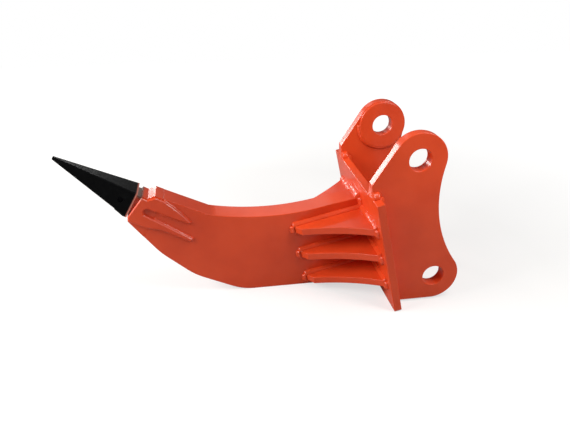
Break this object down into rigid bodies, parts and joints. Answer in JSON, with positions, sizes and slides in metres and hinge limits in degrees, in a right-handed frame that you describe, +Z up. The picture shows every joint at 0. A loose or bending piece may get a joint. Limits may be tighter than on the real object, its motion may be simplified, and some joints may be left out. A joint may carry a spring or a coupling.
{
  "type": "excavator ripper",
  "caption": "Single shank ripper for an excavator arm: two pin ears on a leaning base plate, a curved gusseted shank and a pointed slip-on tooth.",
  "frame": {"origin": "middle of the lower pin bore, halfway between the ears", "axes": "+Y along both pin bores, +Z up as the ripper lies on the ground, -X towards the tooth"},
  "size_m": [1.4047, 0.562, 0.656],
  "materials": {
    "orange_paint": "gloss enamel over welded steel plate",
    "tooth_black": "satin black coating on forged alloy steel",
    "pin_steel": "turned steel, lightly oiled",
    "retainer_rubber": "matt moulded rubber"
  },
  "bodies": {
    "root": {"base_plate": "orange_paint", "ear_far": "orange_paint", "ear_near": "orange_paint", "gusset_far_1": "orange_paint", "gusset_far_2": "orange_paint", "gusset_far_3": "orange_paint", "gusset_near_1": "orange_paint", "gusset_near_2": "orange_paint", "gusset_near_3": "orange_paint", "nose_adapter": "orange_paint", "pin_boss_lower_far": "orange_paint", "pin_boss_lower_near": "orange_paint", "pin_boss_upper_far": "orange_paint", "pin_boss_upper_near": "orange_paint", "pin_retainer": "retainer_rubber", "shank": "orange_paint", "tooth": "tooth_black", "tooth_pin": "pin_steel"}
  },
  "joints": []
}
